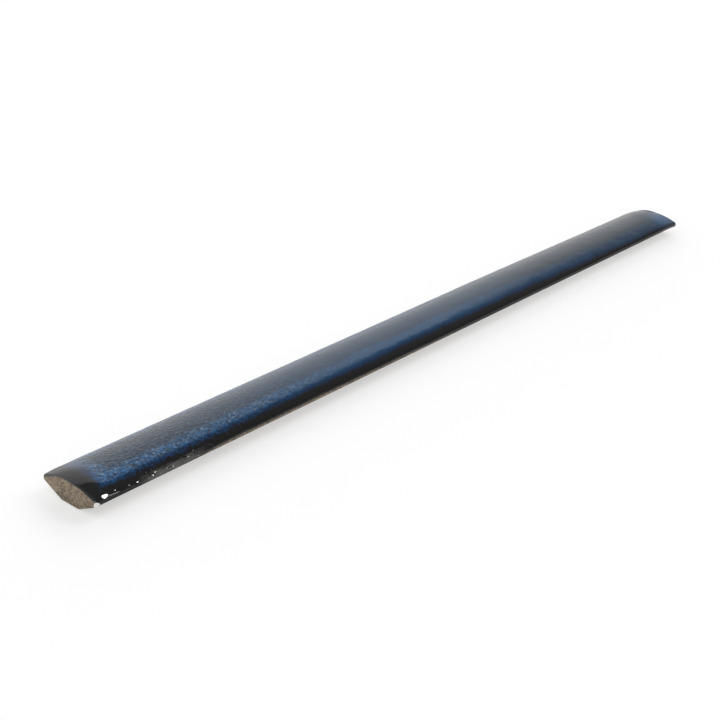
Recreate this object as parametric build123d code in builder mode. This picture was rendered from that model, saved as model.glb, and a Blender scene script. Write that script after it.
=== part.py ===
from build123d import *

import os

# A porcelain trim tile: one bar of clay, pressed in a mould, glazed on its crown and fired.
# Its section is a shallow crown with rolled shoulders over two thin side edges. Below the edges
# the back is undercut on both sides, down to the narrow flat bed that the adhesive holds.
# It lies along X on its bed, with the origin in the middle of the bed. Sizes are in millimetres.

# Driving dimensions
LENGTH = 200.0  # from end to end
WIDTH = 15.0  # across the two side edges
BED_WIDTH = 4.8  # flat strip along the back, between the undercuts
UNDERCUT_HEIGHT = 2.4  # from the bed up to the side edges
EDGE_HEIGHT = 1.1  # upright side edge, before its corners are rounded
CROWN_RISE = 1.7  # top of the crown above the side edges
SHOULDER_RADIUS = 0.9  # where the crown rolls over into a side edge
ARRIS_RADIUS = 0.45  # where a side edge meets its undercut, and the undercut meets the bed
END_RADIUS = 0.3  # softened rim of each end face

# A side edge holds the shoulder above and the arris below, so its height limits both roundings,
# and the rim of an end stays smaller than the arris that it runs round.
shoulder_radius = min(SHOULDER_RADIUS, 0.9 * EDGE_HEIGHT)
arris_radius = min(ARRIS_RADIUS, 0.45 * EDGE_HEIGHT)
end_radius = min(END_RADIUS, 0.8 * arris_radius)

edge_top = UNDERCUT_HEIGHT + EDGE_HEIGHT
thickness = edge_top + CROWN_RISE

with BuildPart() as trim_tile:
    # The section, seen from the +X end: crown, side edges, undercuts and bed
    with BuildSketch(Plane.YZ) as section:
        with BuildLine():
            crown = ThreePointArc((-WIDTH / 2, edge_top), (0, thickness), (WIDTH / 2, edge_top))
            Polyline(
                crown @ 1,
                (WIDTH / 2, UNDERCUT_HEIGHT),
                (BED_WIDTH / 2, 0),
                (-BED_WIDTH / 2, 0),
                (-WIDTH / 2, UNDERCUT_HEIGHT),
                crown @ 0,
            )
        make_face()
        shoulders = section.vertices().group_by(Axis.Y)[-1]
        fillet(shoulders, shoulder_radius)
        bed_corners, edge_corners = section.vertices().group_by(Axis.Y)[:2]
        fillet(bed_corners + edge_corners, arris_radius)
    extrude(amount=LENGTH / 2, both=True)

    # The rims of the two ends, softened as the fired clay and its glaze are
    ends = trim_tile.faces().filter_by(Axis.X)
    fillet(ends.edges(), end_radius)

trim_tile.part.label = "trim_tile"

os.makedirs("parts", exist_ok=True)
export_step(trim_tile.part, "parts/trim_tile.step")
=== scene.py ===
from math import atan2, cos, pi, radians, sin, sqrt

import bpy
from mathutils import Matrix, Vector


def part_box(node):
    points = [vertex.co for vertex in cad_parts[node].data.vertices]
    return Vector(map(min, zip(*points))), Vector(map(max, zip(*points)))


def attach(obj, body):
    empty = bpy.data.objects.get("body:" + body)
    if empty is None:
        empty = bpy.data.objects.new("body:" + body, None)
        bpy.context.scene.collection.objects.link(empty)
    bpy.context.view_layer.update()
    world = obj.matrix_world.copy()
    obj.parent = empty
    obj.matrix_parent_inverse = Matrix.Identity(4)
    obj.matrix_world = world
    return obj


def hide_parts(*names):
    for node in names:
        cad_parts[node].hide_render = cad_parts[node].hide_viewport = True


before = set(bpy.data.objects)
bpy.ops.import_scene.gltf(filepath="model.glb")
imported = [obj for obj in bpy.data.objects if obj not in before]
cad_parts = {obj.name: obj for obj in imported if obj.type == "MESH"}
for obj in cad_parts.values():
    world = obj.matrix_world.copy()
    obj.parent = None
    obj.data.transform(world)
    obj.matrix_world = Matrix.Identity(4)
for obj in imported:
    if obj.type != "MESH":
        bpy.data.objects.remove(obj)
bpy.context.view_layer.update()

# The bar
# One bar of grey-brown clay, pressed in a mould: a shallow crown with rolled shoulders, two thin
# side edges, and a back that is undercut on both sides down to the flat bed. Fired with its glaze.
MM = 0.001
lowest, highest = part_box("trim_tile")
LENGTH = (highest.x - lowest.x) / MM
WIDTH = (highest.y - lowest.y) / MM
THICKNESS = (highest.z - lowest.z) / MM
BED_WIDTH = 4.8
UNDERCUT_HEIGHT = 2.4
EDGE_HEIGHT = 1.1
SHOULDER_RADIUS = 0.9
ARRIS_RADIUS = 0.45
END_RADIUS = 0.3
FINE_LENGTH = 30.0  # at the near end, which the camera sees best, the slices are thinner
FINE_CUTS = 16  # in each of two rounds, which makes 17 x 17 slices
COARSE_CUTS = 20  # the same over the rest of the length, which makes 21 x 21
LONG_EDGE = 1.0  # an edge that spans more than this along the tile still has to be cut
SAME_PLACE = 1e-5  # points closer than this are one
SLACK = 0.01  # allowed where a place is compared with a limit

half_length = LENGTH / 2
half_width = WIDTH / 2
crown_rise = THICKNESS - UNDERCUT_HEIGHT - EDGE_HEIGHT
crown_radius = (half_width**2 + crown_rise**2) / (2 * crown_rise)
crown_centre = THICKNESS - crown_radius
shoulder_y = half_width - SHOULDER_RADIUS
shoulder_z = crown_centre + sqrt((crown_radius - SHOULDER_RADIUS) ** 2 - shoulder_y**2)
shoulder_lean = atan2(shoulder_y, shoulder_z - crown_centre)
undercut_lean = pi - atan2(UNDERCUT_HEIGHT, (WIDTH - BED_WIDTH) / 2)
fine_end = FINE_LENGTH - half_length

bpy.ops.object.select_all(action="DESELECT")
bpy.ops.mesh.primitive_cube_add(
    size=1, location=(0, 0, THICKNESS / 2), scale=(LENGTH, WIDTH, THICKNESS)
)
tile = bpy.context.object
tile.name = "glazed_trim_tile"
bpy.ops.object.transform_apply(location=True, rotation=False, scale=True)


def plane_off(point, outward):
    """Planes away what lies outside the plane through a point, and closes the cut."""
    bpy.ops.mesh.select_all(action="SELECT")
    bpy.ops.mesh.bisect(
        plane_co=point, plane_no=outward, use_fill=True, clear_outer=True, threshold=SAME_PLACE
    )


def plane_sides(y, z, lean):
    """Planes both long sides alike. The lean of a plane's normal is measured from upright."""
    for side in (-1, 1):
        plane_off((0, side * y, z), (0, side * sin(lean), cos(lean)))


def round_over(y, z, radius, start, stop, facets):
    """Rounds both long sides about a centre line, from one lean to another."""
    for facet in range(facets):
        lean = start + (stop - start) * (facet + 0.5) / facets
        plane_sides(y + radius * sin(lean), z + radius * cos(lean), lean)


def round_arris(y, z, start, stop, facets):
    """Rounds the corner at (y, z), where a face of one lean meets a face of another."""
    middle = (start + stop) / 2
    inset = ARRIS_RADIUS / cos((stop - start) / 2)
    round_over(y - inset * sin(middle), z - inset * cos(middle), ARRIS_RADIUS, start, stop, facets)


def choose(kind, wanted):
    """Selects the faces, edges or vertices in sight that pass a test, and nothing else."""
    bpy.ops.mesh.select_mode(type={"polygons": "FACE", "edges": "EDGE", "vertices": "VERT"}[kind])
    bpy.ops.mesh.select_all(action="DESELECT")
    bpy.ops.object.mode_set(mode="OBJECT")
    for element in getattr(tile.data, kind):
        element.select = wanted(element) and not element.hide
    bpy.ops.object.mode_set(mode="EDIT")


def runs_along(edge, low, high):
    """True for a long edge that runs along the tile and lies between two places."""
    a, b = (tile.data.vertices[i].co.x for i in edge.vertices)
    return abs(a - b) > LONG_EDGE and min(a, b) > low - SLACK and max(a, b) < high + SLACK


def cut_slices(low, high, cuts):
    """Cuts the tile into slices between two places along it, in two rounds."""
    for _ in range(2):
        choose("edges", lambda edge: runs_along(edge, low, high))
        bpy.ops.mesh.subdivide(number_cuts=cuts)


bpy.ops.object.mode_set(mode="EDIT")
plane_sides(half_width, UNDERCUT_HEIGHT, undercut_lean)
round_arris(half_width, UNDERCUT_HEIGHT, pi / 2, undercut_lean, facets=4)
round_arris(BED_WIDTH / 2, 0, undercut_lean, pi, facets=2)
round_over(shoulder_y, shoulder_z, SHOULDER_RADIUS, shoulder_lean, pi / 2, facets=13)
round_over(0, crown_centre, crown_radius, 0, shoulder_lean, facets=34)
choose("polygons", lambda face: abs(face.normal.x) > 1 - SLACK)
bpy.ops.mesh.bevel(offset=END_RADIUS, segments=4, affect="EDGES", clamp_overlap=False)
bpy.ops.mesh.select_all(action="SELECT")
bpy.ops.mesh.bisect(plane_co=(fine_end, 0, 0), plane_no=(1, 0, 0), threshold=SAME_PLACE)
cut_slices(-half_length, fine_end, FINE_CUTS)
cut_slices(fine_end, half_length, COARSE_CUTS)
bpy.ops.mesh.select_all(action="SELECT")
bpy.ops.mesh.normals_make_consistent(inside=False)

# The ends
# The glaze rolls down over both ends and rounds the near back corner, and firing has drawn the back
# edge in toward the far end. The near front corner has lost a chip, which shows paler clay.
NEAR = -1
FAR = 1
DRAWN_WIDTH = 0.9  # of the back half at the far end, as a share of its pressed width
DRAWN_LENGTH = 85.0
DRAWN_ABOVE = 1.5  # the bed and the foot of the undercuts stay in place
ROLLED_DEPTH = 0.4  # of the rim that is rolled down, below the crown
CORNER_FROM = 6.6  # behind the middle of the tile
CORNER_SHIFT = (0, -0.12, -0.07)
CORNER_REACH = 2.0
CHIP_LENGTH = 1.25
CHIP_NORMAL = Vector((-0.19, -0.96, -0.12)).normalized()
CHIP_POINT = Vector((CHIP_LENGTH - half_length, -half_width, UNDERCUT_HEIGHT))


def below_crown(place):
    """Depth of a place below the crown, measured straight down."""
    return THICKNESS - place.y**2 / (2 * crown_radius) - place.z


def at_end(vertex, end):
    """True for a vertex on the face or the rim of an end."""
    return end * vertex.co.x > half_length - END_RADIUS


def set_aside(unwanted):
    """Hides the vertices that pass a test, so that what follows leaves them in place."""
    choose("vertices", unwanted)
    bpy.ops.mesh.hide()


def drag(shift, reach, falloff):
    """Moves what is selected, and drags along what lies within a reach of it."""
    bpy.ops.transform.translate(
        value=shift,
        use_proportional_edit=True,
        proportional_size=reach,
        proportional_edit_falloff=falloff,
    )


def roll_down(end, front, back, drop, reach):
    """Rolls the crown down toward one end, by a drop at its rim between two places across it."""
    choose(
        "vertices",
        lambda vertex: at_end(vertex, end)
        and front < vertex.co.y < back
        and below_crown(vertex.co) < ROLLED_DEPTH,
    )
    drag((0, 0, -drop), reach, "SHARP")


set_aside(lambda vertex: vertex.co.y < -SLACK or vertex.co.z < DRAWN_ABOVE)
choose("vertices", lambda vertex: at_end(vertex, FAR))
bpy.ops.transform.resize(
    value=(1, DRAWN_WIDTH, 1),
    center_override=(0, 0, 0),
    use_proportional_edit=True,
    proportional_size=DRAWN_LENGTH,
    proportional_edit_falloff="SMOOTH",
)
bpy.ops.mesh.reveal(select=False)
set_aside(lambda vertex: vertex.co.z < UNDERCUT_HEIGHT)
roll_down(NEAR, front=-5, back=5, drop=0.3, reach=3.6)
roll_down(FAR, front=-6.5, back=-1, drop=0.37, reach=6.5)
roll_down(FAR, front=4.5, back=7.4, drop=0.3, reach=4.5)
choose("vertices", lambda vertex: at_end(vertex, NEAR) and vertex.co.y > CORNER_FROM)
drag(CORNER_SHIFT, CORNER_REACH, "SMOOTH")
bpy.ops.mesh.reveal(select=False)
plane_off(CHIP_POINT, CHIP_NORMAL)
bpy.ops.object.mode_set(mode="OBJECT")

# The glaze relief
# The fired glaze is slightly wavy. Toward the near end it has run down over the front edge and set
# there in one flat pool and a few small ones, which catch the lamp.
GLINT_FACING = Vector((-0.115, -0.65, 0.75))
GLINT_TURN = Vector((-0.0018, 0, 0))  # for each millimetre from the near end
POOL_FLAT = 0.8  # a pool is flat over this share of its length and height
POOL_DEPTH = 0.5  # glaze that lies further than this from a pool's plane stays as it is
SMOOTH_ANGLE = radians(35)


def smooth_step(value, low, high):
    """0 below low, 1 above high and a smooth step between them."""
    t = min(max((value - low) / (high - low), 0), 1)
    return t * t * (3 - 2 * t)


def crown_weight(place):
    """1 over the glazed crown, going to 0 at the ends and down the edges."""
    from_end = half_length - abs(place.x)
    return smooth_step(from_end, END_RADIUS, 2) * (1 - smooth_step(below_crown(place), 0.2, 0.8))


def run_weight(place):
    """1 along the front shoulder and edge toward the near end."""
    station = place.x + half_length
    length_part = smooth_step(station, 6, 8) * (1 - smooth_step(station, 20, 28))
    return length_part * smooth_step(-place.y, 6.4, 7.0) * smooth_step(place.z, 2.5, 2.8)


def displace(name, size, strength, weigh):
    """Presses a cloudy relief into the tile, where and as deep as a weight says."""
    group = tile.vertex_groups.new(name=name)
    for vertex in tile.data.vertices:
        weight = weigh(vertex.co)
        if weight > 0:
            group.add([vertex.index], weight, "REPLACE")
    clouds = bpy.data.textures.new(name, "CLOUDS")
    clouds.noise_scale = size
    clouds.noise_depth = 1
    modifier = tile.modifiers.new(name, "DISPLACE")
    modifier.texture = clouds
    modifier.texture_coords = "LOCAL"
    modifier.vertex_group = name
    modifier.strength = strength
    modifier.mid_level = 1.0
    bpy.context.view_layer.objects.active = tile
    bpy.ops.object.modifier_apply(modifier=name)
    tile.vertex_groups.clear()


def set_pool(station, y, z, length, height, rim=0.6):
    """Settles the glaze about a place into a flat pool that mirrors the lamp, and its rim around it."""
    centre = Vector((station - half_length, y, z))
    facing = (GLINT_FACING + GLINT_TURN * station).normalized()
    for vertex in tile.data.vertices:
        offset = vertex.co - centre
        rise = offset.dot(facing)
        level = offset - facing * rise
        spread = Vector((level.x / length, level.y / height, level.z / height)).length
        if spread < POOL_FLAT + rim and abs(rise) < POOL_DEPTH:
            vertex.co -= facing * rise * (1 - smooth_step(spread, POOL_FLAT, POOL_FLAT + rim))


displace("waves", size=4.0, strength=0.06, weigh=crown_weight)
displace("runs", size=0.8, strength=0.14, weigh=run_weight)
set_pool(2.5, -7.075, 3.535, length=0.72, height=0.6, rim=0.25)
set_pool(4.85, -7.0, 3.66, length=0.23, height=0.18)
set_pool(7.9, -7.28, 3.42, length=0.25, height=0.1)
set_pool(9.6, -7.27, 3.3, length=0.3, height=0.17)
set_pool(13.1, -7.3, 3.22, length=0.25, height=0.15)
set_pool(21.6, -7.2, 3.5, length=0.2, height=0.13)
set_pool(27.3, -7.22, 3.48, length=0.2, height=0.13)

bpy.ops.object.select_all(action="DESELECT")
tile.select_set(True)
bpy.ops.transform.resize(value=(MM, MM, MM))
bpy.ops.object.transform_apply(location=True, rotation=True, scale=True)
bpy.ops.object.shade_smooth_by_angle(angle=SMOOTH_ANGLE)

# The glaze
# A glossy blue reactive glaze, dipped on the face and run thin at the rims, where it breaks to
# black. It ends in a ragged line above the bare clay of the ends and the back. The front edge is
# streaked grey toward the near end, where a pale streak and pale specks are painted highlights.
RIM_BLACK = (0.0045, 0.0045, 0.005)
NAVY = (0.002, 0.024, 0.075)
BRIGHT_BLUE = (0.012, 0.062, 0.145)
FIELD_BLUE = (0.005, 0.023, 0.05)
CRYSTAL = (0.15, 0.22, 0.31)
THIN_GLAZE = (0.066, 0.063, 0.058)
EDGE_GREY = (0.092, 0.09, 0.086)
# a painted highlight, standing in for glints of the lamp
PAINTED_GLINT = (0.45, 0.45, 0.45)
RIM_GREY = (0.11, 0.105, 0.1)
CLAY = (0.31, 0.247, 0.175)
CLAY_SPECK = (0.095, 0.07, 0.046)
CHIP_CLAY = (0.85, 0.83, 0.78)
DEPTH_COLOURS = (  # each at its depth in from the rims
    (1.4, RIM_BLACK),
    (2.2, NAVY),
    (3.2, BRIGHT_BLUE),
    (4.5, BRIGHT_BLUE),
    (5.7, FIELD_BLUE),
)
WANDER_SIZE = 6.0
CLOUD_SIZE = 2.4
MOTTLE_SIZE = 0.62
FLECK_SIZE = 0.65
STREAK_SIZE = 0.6
PAINTED_SPECK_SIZE = 0.4
CLAY_GRAIN_SIZE = 0.5
CLAY_LUMP_SIZE = 1.7
DARKEST_TONE = 0.1
TONE_RANGE = 0.87
SIDE_LINE = 1.2  # where the glaze ends on the long sides, below the crown
END_LINE = 0.42  # where it ends on the end faces
GLAZE_ROUGHNESS = 0.05
CLAY_ROUGHNESS = 0.85
GLAZE_IOR = 1.5
BUMP_HEIGHT = 0.06


class Shade:
    """A value, a place or a colour in a node tree. Sums and products of values add Math nodes."""

    def __init__(self, tree, socket):
        self.tree = tree
        self.socket = socket

    @classmethod
    def read(cls, tree, kind, output):
        """What a node without inputs gives, such as a place or the kind of a ray."""
        return cls(tree, tree.nodes.new(kind).outputs[output])

    def node(self, kind, settings, sockets, out=0):
        """Adds a node with its settings and the values or links of its sockets. Gives one output."""
        made = self.tree.nodes.new(kind)
        for name, value in settings.items():
            if name == "stops":
                ramp = made.color_ramp
                while len(ramp.elements) < len(value):
                    ramp.elements.new(1)
                for element, (position, colour) in zip(ramp.elements, value):
                    element.position = position
                    element.color = (*colour, 1)
            else:
                setattr(made, name, value)
        for name, value in sockets.items():
            if isinstance(value, Shade):
                value.feed(made.inputs[name])
            else:
                made.inputs[name].default_value = value
        return Shade(self.tree, made.outputs[out])

    def feed(self, socket):
        """Links this value or colour to a socket."""
        self.tree.links.new(self.socket, socket)

    def math(self, operation, *values):
        return self.node("ShaderNodeMath", {"operation": operation}, dict(enumerate(values)))

    def __add__(self, other):
        return self.math("ADD", self, other)

    def __sub__(self, other):
        return self.math("SUBTRACT", self, other)

    def __rsub__(self, other):
        return self.math("SUBTRACT", other, self)

    def __mul__(self, other):
        return self.math("MULTIPLY", self, other)

    def __neg__(self):
        return self.math("SUBTRACT", 0, self)

    def __abs__(self):
        return self.math("ABSOLUTE", self)

    __radd__ = __add__
    __rmul__ = __mul__

    def larger(self, other):
        """The larger of two values."""
        return self.math("MAXIMUM", self, other)

    def over(self, low):
        """How far this value lies above low, or 0 below it."""
        return (self - low).larger(0)

    def smaller(self, other, softness):
        """The smaller of two values, going over softly from one to the other."""
        return self.math("SMOOTH_MIN", self, other, softness)

    def rise(self, low, high):
        """0 below low, 1 above high and a smooth step between them."""
        steps = {"Value": self, "From Min": low, "From Max": high}
        return self.node("ShaderNodeMapRange", {"interpolation_type": "SMOOTHSTEP"}, steps)

    def fall(self, low, high):
        """1 below low, 0 above high and a smooth step between them."""
        return 1 - self.rise(low, high)

    def colours(self, stops, top):
        """The colours of a ramp over this value. Its stops lie between 0 and a top."""
        shares = [(stop / top, colour) for stop, colour in stops]
        return self.node("ShaderNodeValToRGB", {"stops": shares}, {0: self * (1 / top)})

    def blend(self, colour, other):
        """A colour where this value is 0, going over to another where it is 1."""
        low, high = (end if isinstance(end, Shade) else (*end, 1) for end in (colour, other))
        return self.node("ShaderNodeMix", {"data_type": "RGBA"}, {0: self, 6: low, 7: high}, out=2)

    def grey(self):
        """This value as a grey colour."""
        return self.node("ShaderNodeCombineColor", {}, {0: self, 1: self, 2: self})

    def axes(self):
        """The three coordinates of this place or direction."""
        return [self.node("ShaderNodeSeparateXYZ", {}, {0: self}, out=axis) for axis in range(3)]

    def scaled(self, factor):
        """This place or colour times a factor."""
        return self.node("ShaderNodeVectorMath", {"operation": "SCALE"}, {0: self, "Scale": factor})

    def stretched(self, x, y, z):
        """This place with its axes scaled. Noise over it is drawn out where the scale is small."""
        return self.node("ShaderNodeVectorMath", {"operation": "MULTIPLY"}, {0: self, 1: (x, y, z)})

    def reach(self, direction):
        """How far this place lies along a direction."""
        settings = {"operation": "DOT_PRODUCT"}
        return self.node("ShaderNodeVectorMath", settings, {0: self, 1: direction}, out="Value")

    def noise(self, size, detail=2, roughness=0.5):
        """Cloudy noise over a place, from about 0.25 to 0.75, with lumps of about that size."""
        sockets = {"Vector": self, "Scale": 1 / size, "Detail": detail, "Roughness": roughness}
        return self.node("ShaderNodeTexNoise", {}, sockets)


finish = bpy.data.materials.new("reactive_blue_glaze")
finish.use_nodes = True
place = Shade.read(finish.node_tree, "ShaderNodeTexCoord", "Object").scaled(1 / MM)
along, across, upward = place.axes()
station = along + half_length
to_front = -across
aside = abs(across)

# Noise, from broad to fine. The fine grain of the glaze fades toward the far end.
wander = place.noise(WANDER_SIZE) - 0.5
cloud = place.noise(CLOUD_SIZE) - 0.5
mottle = place.noise(MOTTLE_SIZE, roughness=0.6) - 0.5
coarse = 1 - 0.9 * station.rise(12, 85)

# The colour follows the depth of the glaze, which grows from the rims inward.
at_back = across.rise(0, 3)
at_far = along.rise(0, 95)
off_front = across.rise(-4.5, 1.5)
from_edge = (half_width - aside) + at_back * 2.5 + at_far * 1.3
from_near = station * 0.9 - 0.9 - off_front * 0.6 + at_back * 0.3
from_far = (half_length - along) * 0.45 + 2.0 + off_front * 2.0
rim_depth = from_edge.smaller(from_near.smaller(from_far, 1.0), 0.9)
depth = rim_depth + wander * 1.3 + mottle * (coarse * 1.8)
pigment = depth.colours(DEPTH_COLOURS, half_width)

# Its tone follows the grain. It is brighter where glaze has pooled, and darker to the back and far end.
in_glaze = rim_depth.rise(2.3, 3.4)
in_field = rim_depth.rise(4.3, 5.8)
band = in_glaze * (1 - in_field)
near_pool = station.fall(5, 13) * (1 - off_front * 1.2)
far_pool = (half_length - along).fall(3, 10) * (1 - off_front)
mid_field = station.rise(20, 60) * station.fall(105, 150) * in_field
grainy = mottle * (coarse * (3.0 + band * 2.8)) + cloud * (0.25 + coarse * 0.35)
pooled = near_pool * 0.5 + far_pool * 0.7 + mid_field * 0.6
darker = (at_back + at_far + band * along.rise(-10, 30)) * 0.25
tone = (1 + grainy + pooled - darker).over(DARKEST_TONE) * TONE_RANGE + DARKEST_TONE
pigment = pigment.scaled(tone)

# Pale crystals float in it, mostly toward the near end; a pale painted sheen lies at the far front end.
flecks = place.noise(FLECK_SIZE, roughness=0.6).rise(0.5, 0.72)
crystals_and_far_sheen = flecks * coarse * (in_glaze * 0.35 + band * 0.4) + far_pool * 0.1
pigment = crystals_and_far_sheen.blend(pigment, CRYSTAL)

# It ends below the crown in a ragged line, higher up on the ends, and is thin just above the line.
under_crown = (THICKNESS - (aside * aside) * (0.5 / crown_radius)) - upward
on_end = abs(along).rise(half_length - 0.4, half_length - 0.05)
wrap = on_end * station.fall(1, 2) * across.rise(2.5, 6) * 0.4
side_line = SIDE_LINE - 0.5 * station.rise(20, 32) + 0.7 * station.rise(60, 150)
ragged = wander * 0.3 + cloud * 0.2 + mottle * 0.3
glaze_line = side_line - on_end * (side_line - END_LINE) + wrap + ragged
past_line = under_crown - glaze_line
thin = past_line.rise(-0.5, -0.05) * station.rise(20, 30) * (1 - at_far) * (1 - on_end) * 0.8
pigment = thin.blend(pigment, THIN_GLAZE)

# The grey streaks and painted highlights on the front edge, and the grey rim of the ends.
streaks = place.stretched(0.3, 1, 1.5).noise(STREAK_SIZE, detail=3, roughness=0.7)
grey_streaked = to_front.rise(6.6, 7.05) * station.rise(9, 14) * station.fall(21, 27)
grey_streaked = grey_streaked * (streaks - (upward - 3.3) * 0.12).rise(0.3, 0.56)
pigment = grey_streaked.blend(pigment, EDGE_GREY)
# A pale streak along the front shoulder is a painted highlight, standing in for a glint of the lamp.
off_line = abs(upward + station * 0.05 - 3.52)
painted_streak = off_line.fall(0.03, 0.1) * station.rise(2.8, 3.3) * station.fall(5.0, 5.9)
painted_streak = painted_streak * to_front.rise(6.9, 7.1)
# Pale specks lower on the front edge are painted highlights, standing in for small glints.
painted_specks = place.noise(PAINTED_SPECK_SIZE, detail=0).rise(0.78, 0.84) * to_front.rise(6.2, 6.8)
painted_specks = painted_specks * station.rise(8, 12) * station.fall(26, 34)
pigment = (painted_streak * 0.6 + painted_specks * 0.8).blend(pigment, PAINTED_GLINT)
rim = on_end * past_line.rise(-0.35, -0.05) + station.fall(0.3, 0.9) * 0.15
pigment = rim.blend(pigment, RIM_GREY)

# The bare clay past the line, and the paler clay in the chip.
pressed = place.stretched(1, 0.7, 1.1)
grain = pressed.noise(CLAY_GRAIN_SIZE, detail=3, roughness=0.8) * 0.75
grain = grain + pressed.noise(CLAY_LUMP_SIZE) * 0.25
clay = grain.rise(0.39, 0.6).blend(CLAY_SPECK, CLAY)
chipped = (place.reach(CHIP_NORMAL) - CHIP_POINT.dot(CHIP_NORMAL)).rise(-0.03, -0.01)
clay = chipped.blend(clay, CHIP_CLAY)
bare = past_line.rise(-0.03, 0.03).larger(chipped)

# Glossy glaze and dull clay, each with its own fine relief.
colour = bare.blend(pigment, clay)
roughness = GLAZE_ROUGHNESS + bare * (CLAY_ROUGHNESS - GLAZE_ROUGHNESS)
relief = bare * (grain - 1.2) + (1 - bare) * (mottle * coarse * in_glaze * 2.5)
bump = {"Strength": 1.0, "Distance": BUMP_HEIGHT * MM, "Height": relief}
shader = finish.node_tree.nodes["Principled BSDF"]
colour.feed(shader.inputs["Base Color"])
roughness.feed(shader.inputs["Roughness"])
relief.node("ShaderNodeBump", {}, bump).feed(shader.inputs["Normal"])
shader.inputs["IOR"].default_value = GLAZE_IOR
tile.data.materials.append(finish)
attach(tile, "root")
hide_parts("trim_tile")

# The floor
# A plain white studio floor that runs out past every edge of the picture. It takes the tile's
# shadow, and shows the camera more white of its own and the glaze a little less.
FLOOR_SIZE = 12.0  # in metres
FLOOR_DROP = 0.02  # below the bed of the tile
FLOOR_WHITE = 0.9
CAMERA_LESS = 0.46  # of that white, which the glow makes up for
GLOSSY_LESS = 0.25
CAMERA_GLOW = 0.53
bpy.ops.object.select_all(action="DESELECT")
bpy.ops.mesh.primitive_plane_add(size=FLOOR_SIZE, location=(0, 0, -FLOOR_DROP * MM))
floor = bpy.context.object
floor.name = "floor"
paper = bpy.data.materials.new("white_floor")
paper.use_nodes = True
surface = paper.node_tree.nodes["Principled BSDF"]
surface.inputs["Roughness"].default_value = 0.9
surface.inputs["Specular IOR Level"].default_value = 0.0
surface.inputs["Emission Strength"].default_value = 1.0
camera_ray = Shade.read(paper.node_tree, "ShaderNodeLightPath", "Is Camera Ray")
glossy_ray = Shade.read(paper.node_tree, "ShaderNodeLightPath", "Is Glossy Ray")
white = FLOOR_WHITE - camera_ray * CAMERA_LESS - glossy_ray * GLOSSY_LESS
glow = camera_ray * CAMERA_GLOW
white.grey().feed(surface.inputs["Base Color"])
glow.grey().feed(surface.inputs["Emission Color"])
floor.data.materials.append(paper)

# The light
# A white studio, bright behind the tile and on the left, and dark overhead and to the front right,
# so that the crown's soft sheen ends along its front slope. Two soft lamps throw the shadow, forward
# and past the near end. A small lamp in front shows only as a glint in the glaze.
CARD_ANGLE = radians(63.2)  # of the edge between the bright and the dark side
CARD_DIP_FROM = 0.49  # the edge dips on the near side of this
DARK_STRENGTH = 0.25
GLINT_DIRECTION = Vector((0.28, -0.46, 0.84))
BACK_DIRECTION = Vector((0.68, 0.64, 0.2))
END_DIRECTION = Vector((0.8, -0.2, 0.6))


def hang_lamp(name, direction, angle, energy):
    """A distant round lamp that shines from a direction, as wide as an angle."""
    data = bpy.data.lights.new(name, "SUN")
    data.angle = radians(angle)
    data.energy = energy
    lamp = bpy.data.objects.new(name, data)
    lamp.rotation_euler = (-direction).to_track_quat("-Z", "Y").to_euler()
    bpy.context.scene.collection.objects.link(lamp)
    return lamp


world = bpy.data.worlds.new("studio")
bpy.context.scene.world = world
world.use_nodes = True
sky = world.node_tree.nodes["Background"]
sky_x, sky_y, sky_z = Shade.read(world.node_tree, "ShaderNodeTexCoord", "Generated").axes()

# A card makes the dark side. Its edge is softer toward both ends of the tile, and the bright side is
# dimmer in one strip and close to the card.
dip = (CARD_DIP_FROM - sky_x).over(0)
past_card = sky_z * cos(CARD_ANGLE) - sky_y * sin(CARD_ANGLE) + 0.95 * dip
softness = 0.02 + 0.15 * dip + 0.9 * sky_x.over(0.7) + 3.5 * sky_x.over(0.8)
dark_side = past_card.rise(-softness, softness) * sky_x.rise(-0.15, 0.1)
strip = sky_x.rise(0.0, 0.2) * sky_x.fall(0.3, 0.47) * (0.42 - 0.25 * sky_z.rise(0.25, 0.65))
by_card = past_card.rise(-0.27, -0.05) * sky_x.rise(0.71, 0.79)
by_card = by_card * (1 - 0.8 * sky_x.rise(0.79, 0.84))
bright = 1.0 - 0.13 * sky_x.rise(0.45, 0.75) - strip - 0.22 * by_card
strength = bright - dark_side * (bright - DARK_STRENGTH)

# The camera itself sees plain white.
camera_ray = Shade.read(world.node_tree, "ShaderNodeLightPath", "Is Camera Ray")
shown = strength + camera_ray * (1.0 - strength)
shown.feed(sky.inputs["Strength"])
sky.inputs["Color"].default_value = (1, 1, 1, 1)

glint_lamp = hang_lamp("glint_lamp", GLINT_DIRECTION, angle=9.6, energy=0.85)
glint_lamp.visible_diffuse = False
back_lamp = hang_lamp("back_lamp", BACK_DIRECTION, angle=40, energy=2.0)
back_lamp.visible_glossy = False
end_lamp = hang_lamp("end_lamp", END_DIRECTION, angle=45, energy=1.35)
end_lamp.visible_glossy = False

# The camera
# It looks down on the tile from beyond its near end and in front of it, at the photograph's angle.
# Its place, its turn and its drop fit the tile's outline there.
VIEW_PLACE = Vector((-208.175, -165.507, 117.067))
VIEW_TURN = radians(-48.146)
VIEW_DROP = radians(24.967)
camera_data = bpy.data.cameras.new("view")
camera_data.sensor_width = 36.0
camera_data.lens = 63.255
camera_data.clip_start = 0.01
camera = bpy.data.objects.new("view", camera_data)
camera.location = VIEW_PLACE * MM
camera.rotation_euler = (pi / 2 - VIEW_DROP, 0, VIEW_TURN)
bpy.context.scene.collection.objects.link(camera)
bpy.context.scene.camera = camera
bpy.context.scene.view_settings.view_transform = "Standard"
